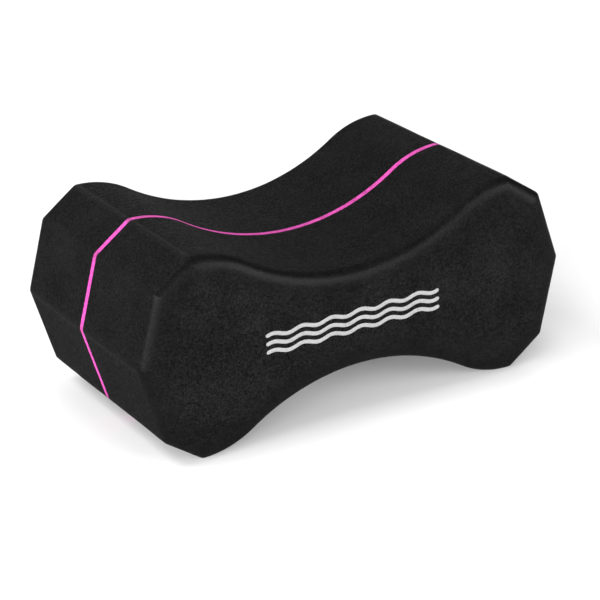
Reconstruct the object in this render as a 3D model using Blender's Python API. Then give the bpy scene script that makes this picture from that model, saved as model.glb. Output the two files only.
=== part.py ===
"""A pull buoy: a foam float that a swimmer holds between the thighs.

Two thick halves of black closed-cell EVA foam are glued to a thin pink sheet between them. Seen
from the front the block is an hourglass: round lobes with faceted ends, and a concave saddle
above and below. The front face carries a screen print of three wave strokes.

Frame: +X along the length, +Y from the printed front face to the rear face, +Z up. The origin is
under the middle of the block, on the surface that it stands on. Sizes are in metres.
"""

import math

import bmesh
import bpy
from mathutils import Vector

# Overall size.
LENGTH = 0.235
WIDTH = 0.130
HEIGHT = 0.1025
WAIST_HEIGHT = 0.0515

# The hourglass outline. A lobe's arc runs from the saddle to just past its crown, then straight
# facets run over the shoulder to the apex of the end. The corners are given where the facets
# would meet, and each crease between them is softened, so the apexes lie 0.3 mm further in.
LOBE_RADIUS = 0.0505
LOBE_CENTRE_X = 0.0865
CROWN_X = 0.0877
SHOULDER_X = 0.1067
SHOULDER_ABOVE_MIDDLE = 0.0378
APEX_ABOVE_MIDDLE = 0.0020
CREASE_RADIUS = 0.0060
SMALLEST_RADIUS = 0.0008

# The layers across the width, and the round rim of the front and rear faces.
ACCENT_THICKNESS = 0.003
GLUE_THICKNESS = 0.0002
CLEARANCE = 0.0003
GLUE_RECESS = 0.0010
RIM_RADIUS = 0.0050

# The printed strokes on the front face.
PRINT_CENTRE_X = -0.004
PRINT_ABOVE_MIDDLE = -0.0008
PRINT_LENGTH = 0.096
PRINT_SPACING = 0.0043
PRINT_STROKE = 0.0020
INK_THICKNESS = 0.0002
WAVES_PER_STROKE = 6
WAVE_SWING = 0.0009

# How finely the curves are divided.
SADDLE_STEPS = 12
LOBE_STEPS = 10
CREASE_STEPS = 2
RIM_STEPS = 4
WAVE_STEPS = 10

# Foam, glue and ink: base colour, roughness.
BLACK_FOAM = ((0.018, 0.018, 0.018, 1.0), 0.75)
PINK_FOAM = ((0.88, 0.08, 0.56, 1.0), 0.65)
GLUE = ((0.55, 0.50, 0.36, 1.0), 0.40)
INK = ((0.60, 0.60, 0.60, 1.0), 0.55)

MIDDLE = HEIGHT / 2


def clear_objects():
    for existing in list(bpy.data.objects):
        bpy.data.objects.remove(existing, do_unlink=True)


def make_material(name, colour, roughness):
    material = bpy.data.materials.new(name)
    material.use_nodes = True
    shader = material.node_tree.nodes["Principled BSDF"]
    shader.inputs["Base Color"].default_value = colour
    shader.inputs["Roughness"].default_value = roughness
    shader.inputs["Metallic"].default_value = 0.0
    return material


# ---- The hourglass outline, as points (x, z) about the block's middle ----


def saddle_radius():
    """The saddle's radius, for an arc from the waist that runs smoothly into the lobe's arc."""
    drop = WAIST_HEIGHT / 2 - (MIDDLE - LOBE_RADIUS)
    reach = drop**2 + LOBE_CENTRE_X**2 - LOBE_RADIUS**2
    return reach / (2 * (LOBE_RADIUS - drop))


def moved_inward(start, end, inset):
    """The line from start to end, moved to its right-hand side by inset."""
    along = (end - start).normalized()
    inward = Vector((along.y, -along.x)) * inset
    return start + inward, along


def where_lines_cross(first, second):
    (start, along), (other, other_along) = first, second
    across = Vector((-other_along.y, other_along.x))
    return start + along * ((other - start).dot(across) / along.dot(across))


def where_line_meets_lobe(line, centre, radius):
    """The crossing nearer to the line's start."""
    start, along = line
    middle = (centre - start).dot(along)
    miss = (start + along * middle - centre).length
    return start + along * (middle - math.sqrt(radius**2 - miss**2))


def arc(centre, radius, start, end, steps):
    points = []
    for step in range(steps + 1):
        angle = start + (end - start) * step / steps
        points.append(centre + Vector((math.cos(angle), math.sin(angle))) * radius)
    return points


def facing(along):
    """The angle that the outline faces, outward, where it travels in direction along."""
    return math.atan2(along.x, -along.y)


def softness(inset):
    """The radius of the creases between facets, on an outline moved inward by inset."""
    return max(CREASE_RADIUS - inset, SMALLEST_RADIUS)


def quarter(apex_height, inset):
    """One quarter, from the waist to the last point before the apex, and the corners beyond."""
    soft = softness(inset)
    crown_drop = LOBE_RADIUS - math.sqrt(LOBE_RADIUS**2 - (CROWN_X - LOBE_CENTRE_X) ** 2)
    crown = Vector((CROWN_X, MIDDLE - crown_drop))
    shoulder = Vector((SHOULDER_X, SHOULDER_ABOVE_MIDDLE))
    apex = Vector((LENGTH / 2, apex_height))
    saddle_centre = Vector((0, WAIST_HEIGHT / 2 + saddle_radius()))
    lobe_centre = Vector((LOBE_CENTRE_X, MIDDLE - LOBE_RADIUS))

    upper_facet = moved_inward(crown, shoulder, inset + soft)
    lower_facet = moved_inward(shoulder, apex, inset + soft)
    crown_centre = where_line_meets_lobe(upper_facet, lobe_centre, LOBE_RADIUS - inset - soft)
    shoulder_centre = where_lines_cross(upper_facet, lower_facet)
    crown_spoke = crown_centre - lobe_centre

    lean = math.atan2(LOBE_CENTRE_X, saddle_centre.y - lobe_centre.y)
    down = -math.pi / 2
    crown_angle = math.atan2(crown_spoke.y, crown_spoke.x)
    upper_angle = facing(upper_facet[1])
    lower_angle = facing(lower_facet[1])
    points = arc(saddle_centre, saddle_radius() + inset, down, down + lean, SADDLE_STEPS)
    points += arc(lobe_centre, LOBE_RADIUS - inset, math.pi / 2 + lean, crown_angle, LOBE_STEPS)[1:-1]
    points += arc(crown_centre, soft, crown_angle, upper_angle, CREASE_STEPS)
    points += arc(shoulder_centre, soft, upper_angle, lower_angle, CREASE_STEPS)
    return points, lower_facet


def mirrored_down(point):
    return Vector((point.x, -point.y))


def outline(inset=0.0):
    """The whole hourglass, clockwise from the upper waist, moved inward by inset."""
    upper, upper_facet = quarter(APEX_ABOVE_MIDDLE, inset)
    lower, lower_facet = quarter(-APEX_ABOVE_MIDDLE, inset)
    lower_facet = tuple(mirrored_down(part) for part in lower_facet)
    apex_centre = where_lines_cross(upper_facet, lower_facet)
    upper_angle = facing(upper_facet[1])
    lower_angle = facing(-lower_facet[1])
    apex = arc(apex_centre, softness(inset), upper_angle, lower_angle, CREASE_STEPS)
    right = upper + apex + [mirrored_down(point) for point in reversed(lower)]
    left = [Vector((-point.x, point.y)) for point in reversed(right[1:-1])]
    return right + left


# ---- Solids ----


def add_object(name, mesh_data, material, parent):
    mesh = bpy.data.meshes.new(name)
    mesh_data.to_mesh(mesh)
    mesh_data.free()
    mesh.materials.append(material)
    mesh.shade_smooth()
    mesh.set_sharp_from_angle(angle=math.radians(25))
    node = bpy.data.objects.new(name, mesh)
    bpy.context.collection.objects.link(node)
    node.parent = parent
    return node


def lofted(rings):
    """A closed solid through rings of equal point counts, with a flat face on each end."""
    mesh_data = bmesh.new()
    loops = [[mesh_data.verts.new(point) for point in ring] for ring in rings]
    count = len(loops[0])
    for near, far in zip(loops, loops[1:]):
        for i in range(count):
            j = (i + 1) % count
            mesh_data.faces.new((near[i], near[j], far[j], far[i]))
    mesh_data.faces.new(loops[0])
    mesh_data.faces.new(reversed(loops[-1]))
    bmesh.ops.recalc_face_normals(mesh_data, faces=mesh_data.faces)
    return mesh_data


def ring(y, inset=0.0):
    return [Vector((point.x, y, point.y)) for point in outline(inset)]


def foam_half(name, side, material, parent):
    """One half, on the side of the accent that side (-1 front, +1 rear) names."""
    inner = ACCENT_THICKNESS / 2 + GLUE_THICKNESS + 2 * CLEARANCE
    rim_start = WIDTH / 2 - RIM_RADIUS
    rings = [ring(side * inner)]
    for step in range(RIM_STEPS + 1):
        angle = math.pi / 2 * step / RIM_STEPS
        outward = RIM_RADIUS * math.sin(angle)
        inset = RIM_RADIUS * (1 - math.cos(angle))
        rings.append(ring(side * (rim_start + outward), inset))
    return add_object(name, lofted(rings), material, parent)


def sheet(name, centre_y, thickness, inset, material, parent):
    """A flat sheet with the block's outline, such as the accent or a film of glue."""
    rings = [ring(centre_y - thickness / 2, inset), ring(centre_y + thickness / 2, inset)]
    return add_object(name, lofted(rings), material, parent)


def wave_stroke(name, row, material, parent):
    """One printed wave. Rows count upwards from the middle one."""
    steps = WAVES_PER_STROKE * WAVE_STEPS
    upper = []
    lower = []
    for step in range(steps + 1):
        share = step / steps
        angle = math.tau * WAVES_PER_STROKE * share
        slope = math.tau * WAVES_PER_STROKE * WAVE_SWING / PRINT_LENGTH * math.cos(angle)
        along = Vector((1, slope)).normalized()
        across = Vector((-along.y, along.x)) * PRINT_STROKE / 2
        middle = Vector((
            PRINT_CENTRE_X + PRINT_LENGTH * (share - 0.5),
            PRINT_ABOVE_MIDDLE + row * PRINT_SPACING + WAVE_SWING * math.sin(angle),
        ))
        upper.append(middle + across)
        lower.append(middle - across)
    loop = upper + lower[::-1]
    inner_y = -WIDTH / 2 - CLEARANCE
    rings = [[Vector((point.x, y, point.y)) for point in loop] for y in (inner_y - INK_THICKNESS, inner_y)]
    return add_object(name, lofted(rings), material, parent)


def build():
    clear_objects()
    block = bpy.data.objects.new("block_middle", None)
    block.location = (0.0, 0.0, MIDDLE)
    bpy.context.collection.objects.link(block)

    black_foam = make_material("black_foam", *BLACK_FOAM)
    pink_foam = make_material("pink_foam", *PINK_FOAM)
    glue = make_material("glue", *GLUE)
    ink = make_material("ink", *INK)

    foam_half("front_foam_half", -1, black_foam, block)
    foam_half("rear_foam_half", 1, black_foam, block)
    sheet("accent_layer", 0.0, ACCENT_THICKNESS, 0.0, pink_foam, block)
    film_y = ACCENT_THICKNESS / 2 + CLEARANCE + GLUE_THICKNESS / 2
    sheet("front_glue_film", -film_y, GLUE_THICKNESS, GLUE_RECESS, glue, block)
    sheet("rear_glue_film", film_y, GLUE_THICKNESS, GLUE_RECESS, glue, block)
    for row, name in ((1, "print_wave_upper"), (0, "print_wave_middle"), (-1, "print_wave_lower")):
        wave_stroke(name, row, ink, block)


build()
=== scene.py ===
"""The looks of a pull buoy: two halves of black EVA foam, a pink sheet between them, and a print.

Everything is in metres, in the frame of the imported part: +X along the length, +Y from the printed
front face to the rear face, +Z up, with the origin under the middle of the block.
"""

import math

import bmesh
import bpy
from mathutils import Matrix, Vector, noise


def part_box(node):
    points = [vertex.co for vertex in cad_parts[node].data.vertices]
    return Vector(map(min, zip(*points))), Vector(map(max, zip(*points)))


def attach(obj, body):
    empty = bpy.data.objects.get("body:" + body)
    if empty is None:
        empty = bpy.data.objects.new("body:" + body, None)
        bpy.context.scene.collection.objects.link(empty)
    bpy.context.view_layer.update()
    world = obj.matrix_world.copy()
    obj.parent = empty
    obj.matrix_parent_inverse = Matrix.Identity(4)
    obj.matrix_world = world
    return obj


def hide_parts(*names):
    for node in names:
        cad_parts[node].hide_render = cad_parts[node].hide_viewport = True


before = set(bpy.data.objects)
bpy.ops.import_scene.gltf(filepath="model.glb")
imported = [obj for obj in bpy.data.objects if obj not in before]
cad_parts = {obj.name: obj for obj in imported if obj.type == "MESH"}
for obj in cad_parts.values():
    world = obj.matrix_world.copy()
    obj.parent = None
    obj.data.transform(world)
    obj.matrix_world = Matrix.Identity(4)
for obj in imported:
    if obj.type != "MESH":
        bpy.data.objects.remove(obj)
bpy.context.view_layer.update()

# ---- Places, read from the frame ----

FRONT_LOW, FRONT_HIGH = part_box("front_foam_half")
REAR_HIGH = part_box("rear_foam_half")[1]
ACCENT_LOW, ACCENT_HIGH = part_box("accent_layer")
MIDDLE = (FRONT_LOW.z + FRONT_HIGH.z) / 2
HALF_HEIGHT = (FRONT_HIGH.z - FRONT_LOW.z) / 2

# ---- The hourglass outline ----

HALF_WAIST = 0.02575
LOBE_RADIUS = 0.0505
LOBE_CENTRE_X = 0.0865
CROWN_X = 0.0877
SHOULDER_X = 0.1067
SHOULDER_ABOVE_MIDDLE = 0.0378
APEX_X = 0.1175
APEX_ABOVE_MIDDLE = 0.0020
CREASE_RADIUS = 0.0035
SMALLEST_RADIUS = 0.0008
SADDLE_STEPS = 44
LOBE_STEPS = 36
FACET_STEPS = 14
CREASE_STEPS = 4

# ---- The foam, across the width ----

RIM_INSET = 0.0092
RIM_DEPTH = 0.0050
RIM_STEPS = 16
# Wear along the rim, the roll and the creases sets the glossy coat, and also darkens the base colour
# there as painted shade.
RIM_WEAR_AND_SHADE = 1.2
ROLL_WIDTH = 0.0092
ROLL_DEPTH = 0.0004
ROLL_STEPS = 6
ROLL_WEAR_AND_SHADE = 0.5
CREASE_WEAR_AND_SHADE = 0.60
CREASE_TURN = math.radians(3.0)
HALFWAY_ROUND = math.pi / 4
SEAM_GAP = 0.00006
SEAM_ROUND = 0.00035
SEAM_STEPS = 3
WALL_STEPS = 30
FACE_STEPS = 44
SWELLS = ((0.045, 0.00020), (0.016, 0.00007))
SWELL_FADE = 0.006
FRONT_SEED = Vector((3.1, 0.0, 0.0))
REAR_SEED = Vector((8.4, 0.0, 0.0))
ACCENT_ROUND = 0.00030
GLUE_CLEAR = 0.00001
GLUE_RECESS = 0.001

# ---- The print ----

INK_THICKNESS = 0.00008
INK_SUNK = 0.00006
PRINT_COLUMNS = 4
PRINT_STROKE = 0.0020
WAVES_PER_STROKE = 6
WAVE_SWING = 0.0009
WAVE_STEPS = 24
NARROWEST_SHARE = 0.1

# ---- Materials ----

# Where most noise lies, between 0 and 1, and how far a place mostly is from its cell's middle.
NOISE_MIDDLE = 0.5
NOISE_LOW = 0.3
NOISE_HIGH = 0.7
CELL_MIDDLE = 0.4

# Each noise is a size in metres, a number of finer octaves, and how strong those are.
FOAM_CELL = 0.0008
FOAM_GRAIN = (0.0011, 3.0, 0.60)
FOAM_CLOUD = (0.022, 4.0, 0.55)
INK_GRAIN = (0.0011, 3.0, 0.65)
INK_CLOUD = (0.022, 2.0, 0.50)
GLUE_STREAK = (0.006, 4.0, 0.60)
FLOOR_CLOUD = (0.35, 3.0, 0.50)

FOAM_PIT_DEPTH = 0.00090
FOAM_GRAIN_DEPTH = 0.00150
FOAM_ROUGHNESS = (0.50, 1.0)
CELL_SHADE = 0.7
GRAIN_SHADE = 1.3
CLOUD_SHADE = 1.1
CELL_GLOSS = 0.6
GRAIN_GLOSS = 0.8
CLOUD_GLOSS = 0.3
GLOSS_SWING = 0.5
BLACK_DARK = (0.0027, 0.0027, 0.0027)
BLACK_MIDDLE = (0.0069, 0.0069, 0.0070)
BLACK_LIGHT = (0.0126, 0.0126, 0.0126)
BLACK_SHINE = 0.020
# Painted shade: the base colour is multiplied by this where the rims and creases carry wear.
EDGE_SHADE = (0.48, 0.48, 0.48, 1.0)
EDGE_COAT = 0.086
EDGE_ROUGHNESS = 0.32
PINK_SHINE = 0.2
PINK_DARK = (0.55, 0.050, 0.32)
PINK_MIDDLE = (0.67, 0.068, 0.40)
PINK_LIGHT = (0.78, 0.097, 0.49)

# The ink's colours, from the cover at which each is reached.
INK_HOLE = (0.15, (0.05, 0.05, 0.05))
INK_THIN = (0.32, (0.175, 0.175, 0.175))
INK_FULL = (0.75, (0.226, 0.226, 0.226))
INK_COVER = 0.6
GRAIN_COVER = 1.2
CLOUD_COVER = 0.4
CELL_COVER = -0.3
INK_RELIEF = 0.5
INK_ROUGHNESS = (0.45, 0.7)
INK_SHINE = 0.3

GLUE_THIN = (0.42, 0.37, 0.24)
GLUE_THICK = (0.58, 0.52, 0.36)
GLUE_RELIEF = 0.6
GLUE_ROUGHNESS = (0.3, 0.55)

FLOOR_DARK = (0.74, 0.74, 0.74)
FLOOR_LIGHT = (0.78, 0.78, 0.78)
FLOOR_ROUGHNESS = 0.9

# ---- Lights ----

BACKDROP_STRENGTH = 1.0
AMBIENT_STRENGTH = 0.02
FLOOR_HALF = 6.0
SOFTBOX_DISTANCE = 2.0

# Each softbox's name, azimuth and elevation in degrees, width, height, and power in watts.
SOFTBOXES = (
    ("left_softbox", -84.0, 3.0, 1.6, 1.4, 34.0),
    ("front_left_softbox", -38.0, 6.0, 2.0, 1.0, 98.0),
    ("front_right_softbox", 45.0, 6.0, 1.1, 1.0, 46.0),
    ("front_softbox", 18.0, 12.0, 0.9, 0.8, 17.0),
    ("high_left_softbox", -60.0, 30.0, 2.0, 0.8, 18.0),
    ("high_right_softbox", 130.0, 32.0, 2.0, 0.8, 8.0),
    ("back_left_softbox", -150.0, 12.0, 2.0, 2.0, 14.0),
    ("back_right_softbox", 165.0, 12.0, 2.0, 2.0, 26.0),
    ("top_left_softbox", -105.0, 58.0, 0.7, 0.7, 18.0),
    ("top_softbox", 0.0, 85.0, 1.0, 1.0, 12.0),
)

# ---- Camera ----

CAMERA_AZIMUTH = -28.76
CAMERA_ELEVATION = 22.76
CAMERA_ROLL = -3.26
CAMERA_DISTANCE = 1.1935
CAMERA_AIM = Vector((0.0028, 0.0, MIDDLE - 0.01366))
CAMERA_LENS = 142.24
CAMERA_CLIP = 0.01
SENSOR_WIDTH = 36.0


# ---- Outline geometry, as points (x, z) about the block's middle ----


def saddle_radius():
    """The saddle's radius, for an arc from the waist that runs smoothly into the lobe's arc."""
    drop = HALF_WAIST - (HALF_HEIGHT - LOBE_RADIUS)
    reach = drop**2 + LOBE_CENTRE_X**2 - LOBE_RADIUS**2
    return reach / (2 * (LOBE_RADIUS - drop))


def moved_inward(start, end, inset):
    """The line from start to end, moved to its right-hand side by inset."""
    along = (end - start).normalized()
    inward = Vector((along.y, -along.x)) * inset
    return start + inward, along


def where_lines_cross(first, second):
    (start, along), (other, other_along) = first, second
    across = Vector((-other_along.y, other_along.x))
    return start + along * ((other - start).dot(across) / along.dot(across))


def where_line_meets_lobe(line, centre, radius):
    """The crossing nearer to the line's start."""
    start, along = line
    middle = (centre - start).dot(along)
    miss = (start + along * middle - centre).length
    return start + along * (middle - math.sqrt(radius**2 - miss**2))


def arc(centre, radius, start, end, steps):
    points = []
    for step in range(steps + 1):
        angle = start + (end - start) * step / steps
        points.append(centre + Vector((math.cos(angle), math.sin(angle))) * radius)
    return points


def facing(along):
    """The angle that the outline faces, outward, where it travels in direction along."""
    return math.atan2(along.x, -along.y)


def softness(inset):
    """The radius of the creases between facets, on an outline moved inward by inset."""
    return max(CREASE_RADIUS - inset, SMALLEST_RADIUS)


def quarter(apex_height, inset):
    """One quarter: its curve from the waist over the crown, its shoulder, and its last facet."""
    soft = softness(inset)
    crown_drop = LOBE_RADIUS - math.sqrt(LOBE_RADIUS**2 - (CROWN_X - LOBE_CENTRE_X) ** 2)
    crown = Vector((CROWN_X, HALF_HEIGHT - crown_drop))
    shoulder = Vector((SHOULDER_X, SHOULDER_ABOVE_MIDDLE))
    apex = Vector((APEX_X, apex_height))
    saddle_centre = Vector((0, HALF_WAIST + saddle_radius()))
    lobe_centre = Vector((LOBE_CENTRE_X, HALF_HEIGHT - LOBE_RADIUS))

    upper_facet = moved_inward(crown, shoulder, inset + soft)
    lower_facet = moved_inward(shoulder, apex, inset + soft)
    crown_centre = where_line_meets_lobe(upper_facet, lobe_centre, LOBE_RADIUS - inset - soft)
    shoulder_centre = where_lines_cross(upper_facet, lower_facet)
    crown_spoke = crown_centre - lobe_centre

    lean = math.atan2(LOBE_CENTRE_X, saddle_centre.y - lobe_centre.y)
    down = -math.pi / 2
    crown_angle = math.atan2(crown_spoke.y, crown_spoke.x)
    upper_angle = facing(upper_facet[1])
    lower_angle = facing(lower_facet[1])
    curve = arc(saddle_centre, saddle_radius() + inset, down, down + lean, SADDLE_STEPS)
    curve += arc(lobe_centre, LOBE_RADIUS - inset, math.pi / 2 + lean, crown_angle, LOBE_STEPS)[1:-1]
    curve += arc(crown_centre, soft, crown_angle, upper_angle, CREASE_STEPS)
    bend = arc(shoulder_centre, soft, upper_angle, lower_angle, CREASE_STEPS)
    return curve, bend, lower_facet


def mirrored_down(point):
    return Vector((point.x, -point.y))


def joined(arcs):
    """The arcs in turn, with evenly spaced points along the straight facets between them."""
    points = list(arcs[0])
    for following in arcs[1:]:
        start = points[-1]
        steps = range(1, FACET_STEPS)
        points += [start.lerp(following[0], step / FACET_STEPS) for step in steps]
        points += following
    return points


def outline(inset=0.0):
    """The whole hourglass, clockwise from the upper waist, moved inward by inset."""
    upper_curve, upper_bend, upper_facet = quarter(APEX_ABOVE_MIDDLE, inset)
    lower_curve, lower_bend, lower_facet = quarter(-APEX_ABOVE_MIDDLE, inset)
    lower_facet = tuple(mirrored_down(part) for part in lower_facet)
    apex_centre = where_lines_cross(upper_facet, lower_facet)
    upper_angle = facing(upper_facet[1])
    lower_angle = facing(-lower_facet[1])
    apex = arc(apex_centre, softness(inset), upper_angle, lower_angle, CREASE_STEPS)
    lower_bend = [mirrored_down(point) for point in reversed(lower_bend)]
    lower_curve = [mirrored_down(point) for point in reversed(lower_curve)]
    right = joined([upper_curve, upper_bend, apex, lower_bend, lower_curve])
    left = [Vector((-point.x, point.y)) for point in reversed(right[1:-1])]
    return right + left


# ---- Meshes ----


def closed_mesh(name, vertices, faces):
    """A smooth mesh whose faces all look outward."""
    mesh = bpy.data.meshes.new(name)
    mesh.from_pydata([tuple(place) for place in vertices], [], faces)
    edited = bmesh.new()
    edited.from_mesh(mesh)
    bmesh.ops.recalc_face_normals(edited, faces=edited.faces)
    edited.to_mesh(mesh)
    edited.free()
    mesh.shade_smooth()
    return mesh


def wear_and_shade_at_creases(points):
    """How worn each point of the outline is: the creases stand out, so they rub first. The same value
    darkens the base colour there as painted shade.
    """
    wear_and_shade = []
    for before, point, after in zip(points[-1:] + points[:-1], points, points[1:] + points[:1]):
        turn = (point - before).angle(after - point)
        wear_and_shade.append(CREASE_WEAR_AND_SHADE if turn > CREASE_TURN else 0.0)
    return wear_and_shade


class Solid:
    """A closed surface through rings of the outline, closed by a grid of faces at each end."""

    def __init__(self):
        self.vertices = []
        self.faces = []
        self.wear_and_shade = []
        self.crease_wear_and_shade = wear_and_shade_at_creases(outline())
        self.count = len(self.crease_wear_and_shade)

    def ring(self, y, inset, wear_and_shade=0.0, crease_share=1.0):
        start = len(self.vertices)
        for point, crease_wear_and_shade in zip(outline(inset), self.crease_wear_and_shade):
            self.vertices.append(Vector((point.x, y, MIDDLE + point.y)))
            self.wear_and_shade.append(max(wear_and_shade, crease_wear_and_shade * crease_share))
        return start

    def wall(self, near, far):
        for i in range(self.count):
            j = (i + 1) % self.count
            self.faces.append((near + i, near + j, far + j, far + i))

    def column(self, top, bottom):
        """The vertices down the end face from one outline vertex to the one below it."""
        column = [top]
        for step in range(1, FACE_STEPS):
            column.append(len(self.vertices))
            self.vertices.append(self.vertices[top].lerp(self.vertices[bottom], step / FACE_STEPS))
            self.wear_and_shade.append(0.0)
        return column + [bottom]

    def cap(self, start):
        """The flat end inside the ring at start, as upright columns between the two apexes."""
        apex = start + self.count // 4
        far_apex = start + 3 * self.count // 4
        columns = []
        for k in range(1, self.count // 2):
            top = start + (self.count // 4 - k) % self.count
            bottom = start + self.count // 4 + k
            columns.append(self.column(top, bottom))
        for row in range(FACE_STEPS):
            self.faces.append((apex, columns[0][row], columns[0][row + 1]))
            self.faces.append((far_apex, columns[-1][row + 1], columns[-1][row]))
            for near, far in zip(columns, columns[1:]):
                self.faces.append((near[row], far[row], far[row + 1], near[row + 1]))

    def close(self, starts):
        """Joins the rings in turn, and closes the first and the last."""
        for near, far in zip(starts, starts[1:]):
            self.wall(near, far)
        self.cap(starts[0])
        self.cap(starts[-1])

    def mesh(self, name):
        mesh = closed_mesh(name, self.vertices, self.faces)
        # This attribute holds wear for the glossy coat, and the painted shade that darkens the rims
        # and creases.
        wear_and_shade = mesh.attributes.new("wear_and_shade", "FLOAT", "POINT")
        wear_and_shade.data.foreach_set("value", self.wear_and_shade)
        return mesh


def swell(place, seed):
    """How far the foam's surface stands out at a place, as cut foam is never quite even."""
    return sum(swing * noise.noise(place / size + seed) for size, swing in SWELLS)


def make_uneven(mesh, seam_y, seed):
    """Moves the surface in and out a little, fading to nothing at the seam, and flat underneath."""
    moved = []
    for vertex in mesh.vertices:
        share = min(abs(vertex.co.y - seam_y) / SWELL_FADE, 1.0)
        moved.append(vertex.co + vertex.normal * swell(vertex.co, seed) * share)
    for vertex, place in zip(mesh.vertices, moved):
        vertex.co = (place.x, place.y, max(place.z, FRONT_LOW.z))
    mesh.update()


def add_piece(name, mesh, material, node):
    mesh.materials.append(material)
    piece = bpy.data.objects.new(name, mesh)
    bpy.context.scene.collection.objects.link(piece)
    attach(piece, "root")
    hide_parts(node)
    return piece


def rim_wear_and_shade(angle):
    """How worn the rim is where it has turned by angle from the side towards the face; the same value
    sets the glossy coat and darkens the rim's base colour as painted shade.
    """
    past_middle = max(angle / HALFWAY_ROUND - 1, 0.0)
    wear_and_shade = min(RIM_WEAR_AND_SHADE * math.sin(2 * min(angle, HALFWAY_ROUND)), 1.0)
    return wear_and_shade * (1 - past_middle * (1 - ROLL_WEAR_AND_SHADE))


def foam_half(name, node, seam_y, face_y, seed, material):
    """A half of the float, from its seam with the pink sheet to its outer face."""
    side = math.copysign(1.0, face_y - seam_y)
    solid = Solid()
    starts = []
    seam = seam_y + side * SEAM_GAP
    for step in range(SEAM_STEPS + 1):
        angle = math.pi / 2 * step / SEAM_STEPS
        depth = SEAM_ROUND * (1 - math.cos(angle))
        inset = SEAM_ROUND * (1 - math.sin(angle))
        starts.append(solid.ring(seam + side * depth, inset))
    wall_start = seam + side * SEAM_ROUND
    rim_end = math.atan2(RIM_DEPTH * ROLL_WIDTH, 2 * RIM_INSET * ROLL_DEPTH)
    rim_start = face_y - side * (RIM_DEPTH * math.sin(rim_end) + ROLL_DEPTH)
    for step in range(1, WALL_STEPS):
        starts.append(solid.ring(wall_start + (rim_start - wall_start) * step / WALL_STEPS, 0.0))
    # The rim and the roll onto the face carry wear that sets the glossy coat and also paints shade
    # into the base colour.
    for step in range(RIM_STEPS + 1):
        angle = rim_end * step / RIM_STEPS
        outward = RIM_DEPTH * math.sin(angle)
        inset = RIM_INSET * (1 - math.cos(angle))
        starts.append(solid.ring(rim_start + side * outward, inset, rim_wear_and_shade(angle), math.cos(angle)))
    for step in range(1, ROLL_STEPS + 1):
        left = 1 - step / ROLL_STEPS
        y = face_y - side * ROLL_DEPTH * left**2
        starts.append(solid.ring(y, inset + ROLL_WIDTH * (1 - left), ROLL_WEAR_AND_SHADE * left, 0.0))
    solid.close(starts)
    mesh = solid.mesh(name)
    make_uneven(mesh, seam_y, seed)
    piece = add_piece(name, mesh, material, node)


def sheet(name, node, low_y, high_y, inset, rounding, material, slot):
    """A thin sheet with the block's outline, and round edges."""
    solid = Solid()
    starts = []
    for side, edge in ((-1, low_y), (1, high_y)):
        for step in range(SEAM_STEPS + 1):
            turn = step if side > 0 else SEAM_STEPS - step
            angle = math.pi / 2 * turn / SEAM_STEPS
            y = edge - side * rounding * (1 - math.sin(angle))
            starts.append(solid.ring(y, inset + rounding * (1 - math.cos(angle))))
    solid.close(starts)
    return add_piece(name, solid.mesh(name), material, node)


def printed_wave(name, node, material):
    """A film of ink in waves, laid on the front face, with round ends."""
    low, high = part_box(node)
    length = high.x - low.x
    radius = PRINT_STROKE / 2
    rows = []
    for step in range(WAVES_PER_STROKE * WAVE_STEPS + 1):
        share = step / (WAVES_PER_STROKE * WAVE_STEPS)
        angle = math.tau * WAVES_PER_STROKE * share
        slope = math.tau * WAVES_PER_STROKE * WAVE_SWING / length * math.cos(angle)
        along = Vector((1, slope)).normalized()
        across = Vector((-along.y, along.x))
        height = (low.z + high.z) / 2 + WAVE_SWING * math.sin(angle)
        middle = Vector((low.x + length * share, height))
        from_end = min(share, 1 - share) * length
        missing = max(radius - from_end, 0.0)
        half = math.sqrt(max(radius**2 - missing**2, (radius * NARROWEST_SHARE) ** 2))
        places = [2 * k / PRINT_COLUMNS - 1 for k in range(PRINT_COLUMNS + 1)]
        rows.append([middle + across * half * place for place in places])
    vertices = []
    for depth in (INK_SUNK, -INK_THICKNESS):
        for spots in rows:
            for spot in spots:
                on_face = Vector((spot.x, FRONT_LOW.y, spot.y))
                raised = FRONT_LOW.y - swell(on_face, FRONT_SEED) + depth
                vertices.append((spot.x, raised, spot.y))
    wide = PRINT_COLUMNS + 1
    layer = wide * len(rows)
    faces = []
    for r in range(len(rows) - 1):
        for k in range(PRINT_COLUMNS):
            a = r * wide + k
            faces.append((a, a + 1, a + wide + 1, a + wide))
            faces.append((a + layer, a + layer + 1, a + layer + wide + 1, a + layer + wide))
        for a in (r * wide, r * wide + PRINT_COLUMNS):
            faces.append((a, a + wide, a + layer + wide, a + layer))
    for r in (0, len(rows) - 1):
        for k in range(PRINT_COLUMNS):
            a = r * wide + k
            faces.append((a, a + 1, a + layer + 1, a + layer))
    add_piece(name, closed_mesh(name, vertices, faces), material, node)


# ---- Materials ----


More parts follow.
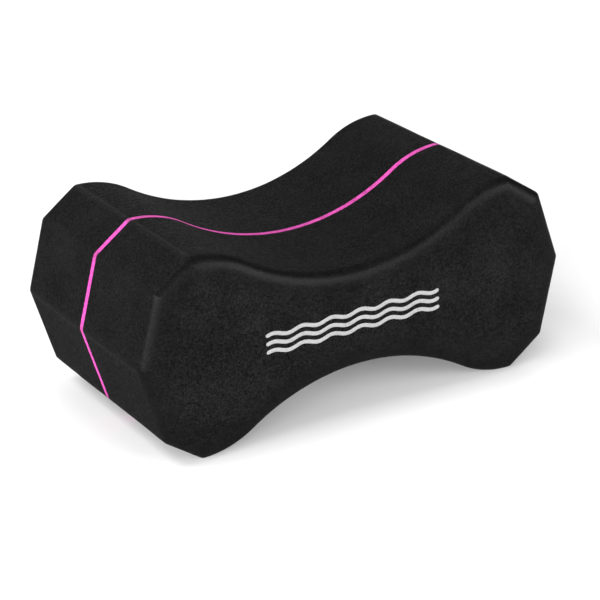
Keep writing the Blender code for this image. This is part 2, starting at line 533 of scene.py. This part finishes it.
class Nodes:
    """A material's node tree, with short calls for the nodes that the materials share."""

    def __init__(self, name):
        self.material = bpy.data.materials.new(name)
        self.material.use_nodes = True
        self.tree = self.material.node_tree
        self.shader = self.tree.nodes["Principled BSDF"]
        self.place = self.add("ShaderNodeTexCoord").outputs["Object"]

    def add(self, kind, **settings):
        node = self.tree.nodes.new(kind)
        for key, value in settings.items():
            setattr(node, key, value)
        return node

    def feed(self, socket, value):
        """Sets a socket to a number or colour, or links it to another node's output."""
        if isinstance(value, bpy.types.NodeSocket):
            self.tree.links.new(value, socket)
        else:
            socket.default_value = value

    def noise(self, size, detail, roughness):
        """Soft noise whose features are about size across."""
        node = self.add("ShaderNodeTexNoise")
        self.feed(node.inputs["Vector"], self.place)
        self.feed(node.inputs["Scale"], 1 / size)
        self.feed(node.inputs["Detail"], detail)
        self.feed(node.inputs["Roughness"], roughness)
        return node.outputs["Fac"]

    def cells(self, size):
        """Small cells, about size across, each with its own colour."""
        node = self.add("ShaderNodeTexVoronoi")
        self.feed(node.inputs["Vector"], self.place)
        self.feed(node.inputs["Scale"], 1 / size)
        return node

    def maths(self, operation, first, second=0.0, third=0.0):
        node = self.add("ShaderNodeMath", operation=operation)
        for socket, value in zip(node.inputs, (first, second, third)):
            self.feed(socket, value)
        return node.outputs[0]

    def weighted(self, *terms):
        """The sum of (output, middle, weight) terms, each the output less its middle, weighted."""
        total = 0.0
        for output, middle, weight in terms:
            centred = self.maths("SUBTRACT", output, middle)
            total = self.maths("MULTIPLY_ADD", centred, weight, total)
        return total

    def spread(self, value, low, high, reach):
        """The value, with low to high spread over reach, a pair of limits."""
        node = self.add("ShaderNodeMapRange")
        for socket, number in zip(node.inputs, (value, low, high, *reach)):
            self.feed(socket, number)
        return node.outputs[0]

    def ramp(self, value, *stops):
        """A colour ramp through (position, colour) stops."""
        node = self.add("ShaderNodeValToRGB")
        self.feed(node.inputs[0], value)
        ramp = node.color_ramp
        while len(ramp.elements) < len(stops):
            ramp.elements.new(1.0)
        for element, (position, colour) in zip(ramp.elements, stops):
            element.position = position
            element.color = (*colour, 1.0)
        return node.outputs["Color"]

    def bump(self, height, depth, strength=1.0, under=None):
        node = self.add("ShaderNodeBump")
        self.feed(node.inputs["Height"], height)
        self.feed(node.inputs["Distance"], depth)
        self.feed(node.inputs["Strength"], strength)
        if under is not None:
            self.feed(node.inputs["Normal"], under)
        return node.outputs["Normal"]


def foam_material(name, dark, middle, light, shine):
    """Closed-cell foam with a cut skin: small cells that each catch the light differently."""
    nodes = Nodes(name)
    cells = nodes.cells(FOAM_CELL)
    tint = nodes.add("ShaderNodeSeparateColor")
    nodes.feed(tint.inputs[0], cells.outputs["Color"])
    grain = nodes.noise(*FOAM_GRAIN)
    cloud = nodes.noise(*FOAM_CLOUD)
    wear_and_shade = nodes.add("ShaderNodeAttribute", attribute_name="wear_and_shade").outputs["Fac"]
    shade = nodes.weighted(
        (tint.outputs[0], NOISE_MIDDLE, CELL_SHADE),
        (grain, NOISE_MIDDLE, GRAIN_SHADE),
        (cloud, NOISE_MIDDLE, CLOUD_SHADE),
    )
    shade = nodes.maths("ADD", shade, NOISE_MIDDLE)
    colour = nodes.ramp(shade, (0.0, dark), (NOISE_MIDDLE, middle), (1.0, light))
    # Painted shade: the colour is darkened along the worn rims and creases, alongside the glossy coat
    # that the same values set.
    painted_edge_shade = nodes.add("ShaderNodeMix", data_type="RGBA", blend_type="MULTIPLY")
    nodes.feed(painted_edge_shade.inputs["Factor"], wear_and_shade)
    nodes.feed(painted_edge_shade.inputs["A"], colour)
    nodes.feed(painted_edge_shade.inputs["B"], EDGE_SHADE)
    nodes.feed(nodes.shader.inputs["Base Color"], painted_edge_shade.outputs["Result"])
    gloss = nodes.weighted(
        (tint.outputs[1], NOISE_MIDDLE, CELL_GLOSS),
        (grain, NOISE_MIDDLE, GRAIN_GLOSS),
        (cloud, NOISE_MIDDLE, CLOUD_GLOSS),
    )
    roughness = nodes.spread(gloss, -GLOSS_SWING, GLOSS_SWING, FOAM_ROUGHNESS)
    nodes.feed(nodes.shader.inputs["Roughness"], roughness)
    pits = nodes.maths("MULTIPLY_ADD", cells.outputs["Distance"], -1.0, 1.0)
    pitted = nodes.bump(pits, FOAM_PIT_DEPTH)
    grained = nodes.bump(grain, FOAM_GRAIN_DEPTH, under=pitted)
    nodes.feed(nodes.shader.inputs["Normal"], grained)
    nodes.shader.inputs["Specular IOR Level"].default_value = shine
    nodes.feed(nodes.shader.inputs["Coat Weight"], nodes.maths("MULTIPLY", wear_and_shade, EDGE_COAT))
    nodes.shader.inputs["Coat Roughness"].default_value = EDGE_ROUGHNESS
    return nodes.material


def ink_material(name):
    """Screen-printed ink, thin enough for the foam's cells to show through as pinholes."""
    nodes = Nodes(name)
    cells = nodes.cells(FOAM_CELL)
    grain = nodes.noise(*INK_GRAIN)
    cloud = nodes.noise(*INK_CLOUD)
    cover = nodes.weighted(
        (grain, NOISE_MIDDLE, GRAIN_COVER),
        (cloud, NOISE_MIDDLE, CLOUD_COVER),
        (cells.outputs["Distance"], CELL_MIDDLE, CELL_COVER),
    )
    cover = nodes.maths("ADD", cover, INK_COVER)
    nodes.feed(nodes.shader.inputs["Base Color"], nodes.ramp(cover, INK_HOLE, INK_THIN, INK_FULL))
    roughness = nodes.spread(grain, NOISE_LOW, NOISE_HIGH, INK_ROUGHNESS)
    nodes.feed(nodes.shader.inputs["Roughness"], roughness)
    nodes.feed(nodes.shader.inputs["Normal"], nodes.bump(cover, FOAM_PIT_DEPTH, INK_RELIEF))
    nodes.shader.inputs["Specular IOR Level"].default_value = INK_SHINE
    return nodes.material


def glue_material(name):
    """Dried contact adhesive, rolled on in uneven streaks."""
    nodes = Nodes(name)
    streaks = nodes.noise(*GLUE_STREAK)
    colour = nodes.ramp(streaks, (NOISE_LOW, GLUE_THIN), (NOISE_HIGH, GLUE_THICK))
    nodes.feed(nodes.shader.inputs["Base Color"], colour)
    roughness = nodes.spread(streaks, NOISE_LOW, NOISE_HIGH, GLUE_ROUGHNESS)
    nodes.feed(nodes.shader.inputs["Roughness"], roughness)
    nodes.feed(nodes.shader.inputs["Normal"], nodes.bump(streaks, FOAM_PIT_DEPTH, GLUE_RELIEF))
    return nodes.material


def floor_material(name):
    """A plain pale surface with hardly any shine."""
    nodes = Nodes(name)
    cloud = nodes.noise(*FLOOR_CLOUD)
    colour = nodes.ramp(cloud, (NOISE_LOW, FLOOR_DARK), (NOISE_HIGH, FLOOR_LIGHT))
    nodes.feed(nodes.shader.inputs["Base Color"], colour)
    nodes.shader.inputs["Roughness"].default_value = FLOOR_ROUGHNESS
    nodes.shader.inputs["Specular IOR Level"].default_value = 0.0
    return nodes.material


# ---- The set ----


def towards(azimuth, elevation):
    """The direction of a place seen from the block. Azimuth 0 is in front, 90 is to the right."""
    turn = math.radians(azimuth)
    rise = math.radians(elevation)
    level = math.cos(rise)
    return Vector((math.sin(turn) * level, -math.cos(turn) * level, math.sin(rise)))


def add_floor():
    mesh = bpy.data.meshes.new("floor")
    sides = ((-1, -1), (1, -1), (1, 1), (-1, 1))
    corners = [(x * FLOOR_HALF, y * FLOOR_HALF, FRONT_LOW.z) for x, y in sides]
    mesh.from_pydata(corners, [], [(0, 1, 2, 3)])
    mesh.materials.append(floor_material("floor"))
    floor = bpy.data.objects.new("floor", mesh)
    bpy.context.scene.collection.objects.link(floor)


def add_softbox(name, azimuth, elevation, width, height, power):
    """A soft rectangular light that faces the block."""
    away = towards(azimuth, elevation)
    light = bpy.data.lights.new(name, "AREA")
    light.shape = "RECTANGLE"
    light.size = width
    light.size_y = height
    light.energy = power
    lamp = bpy.data.objects.new(name, light)
    lamp.location = Vector((0, 0, MIDDLE)) + away * SOFTBOX_DISTANCE
    lamp.rotation_euler = away.to_track_quat("Z", "Y").to_euler()
    bpy.context.scene.collection.objects.link(lamp)


def add_world():
    """A white backdrop to look at, which gives the block hardly any light."""
    world = bpy.data.worlds.new("studio")
    world.use_nodes = True
    tree = world.node_tree
    background = tree.nodes["Background"]
    background.inputs["Color"].default_value = (1.0, 1.0, 1.0, 1.0)
    path = tree.nodes.new("ShaderNodeLightPath")
    strength = tree.nodes.new("ShaderNodeMapRange")
    strength.inputs["To Min"].default_value = AMBIENT_STRENGTH
    strength.inputs["To Max"].default_value = BACKDROP_STRENGTH
    tree.links.new(path.outputs["Is Camera Ray"], strength.inputs["Value"])
    tree.links.new(strength.outputs["Result"], background.inputs["Strength"])
    bpy.context.scene.world = world


def add_camera():
    back = towards(CAMERA_AZIMUTH, CAMERA_ELEVATION)
    data = bpy.data.cameras.new("camera")
    data.sensor_width = SENSOR_WIDTH
    data.lens = CAMERA_LENS
    data.clip_start = CAMERA_CLIP
    camera = bpy.data.objects.new("camera", data)
    tilt = Matrix.Rotation(math.radians(CAMERA_ROLL), 3, "Z")
    turned = back.to_track_quat("Z", "Y").to_matrix() @ tilt
    camera.location = CAMERA_AIM + back * CAMERA_DISTANCE
    camera.rotation_euler = turned.to_euler()
    bpy.context.scene.collection.objects.link(camera)
    bpy.context.scene.camera = camera


# ---- Build ----

black_foam = foam_material("black_foam", BLACK_DARK, BLACK_MIDDLE, BLACK_LIGHT, BLACK_SHINE)
pink_foam = foam_material("pink_foam", PINK_DARK, PINK_MIDDLE, PINK_LIGHT, PINK_SHINE)
glue = glue_material("glue")
ink = ink_material("print_ink")

foam_half("front_foam", "front_foam_half", ACCENT_LOW.y, FRONT_LOW.y, FRONT_SEED, black_foam)
foam_half("rear_foam", "rear_foam_half", ACCENT_HIGH.y, REAR_HIGH.y, REAR_SEED, black_foam)
edges = (ACCENT_LOW.y, ACCENT_HIGH.y)
accent = sheet("accent_sheet", "accent_layer", *edges, 0.0, ACCENT_ROUND, pink_foam, "pink_foam")
for name, node, side, edge in (
    ("front_glue", "front_glue_film", -1, ACCENT_LOW.y),
    ("rear_glue", "rear_glue_film", 1, ACCENT_HIGH.y),
):
    near = edge + side * GLUE_CLEAR
    far = edge + side * (SEAM_GAP - GLUE_CLEAR)
    sheet(name, node, min(near, far), max(near, far), GLUE_RECESS, GLUE_CLEAR / 2, glue, "glue")
for row in ("upper", "middle", "lower"):
    printed_wave("printed_wave_" + row, "print_wave_" + row, ink)

add_floor()
add_world()
for settings in SOFTBOXES:
    add_softbox(*settings)
add_camera()
bpy.context.scene.view_settings.view_transform = "Standard"
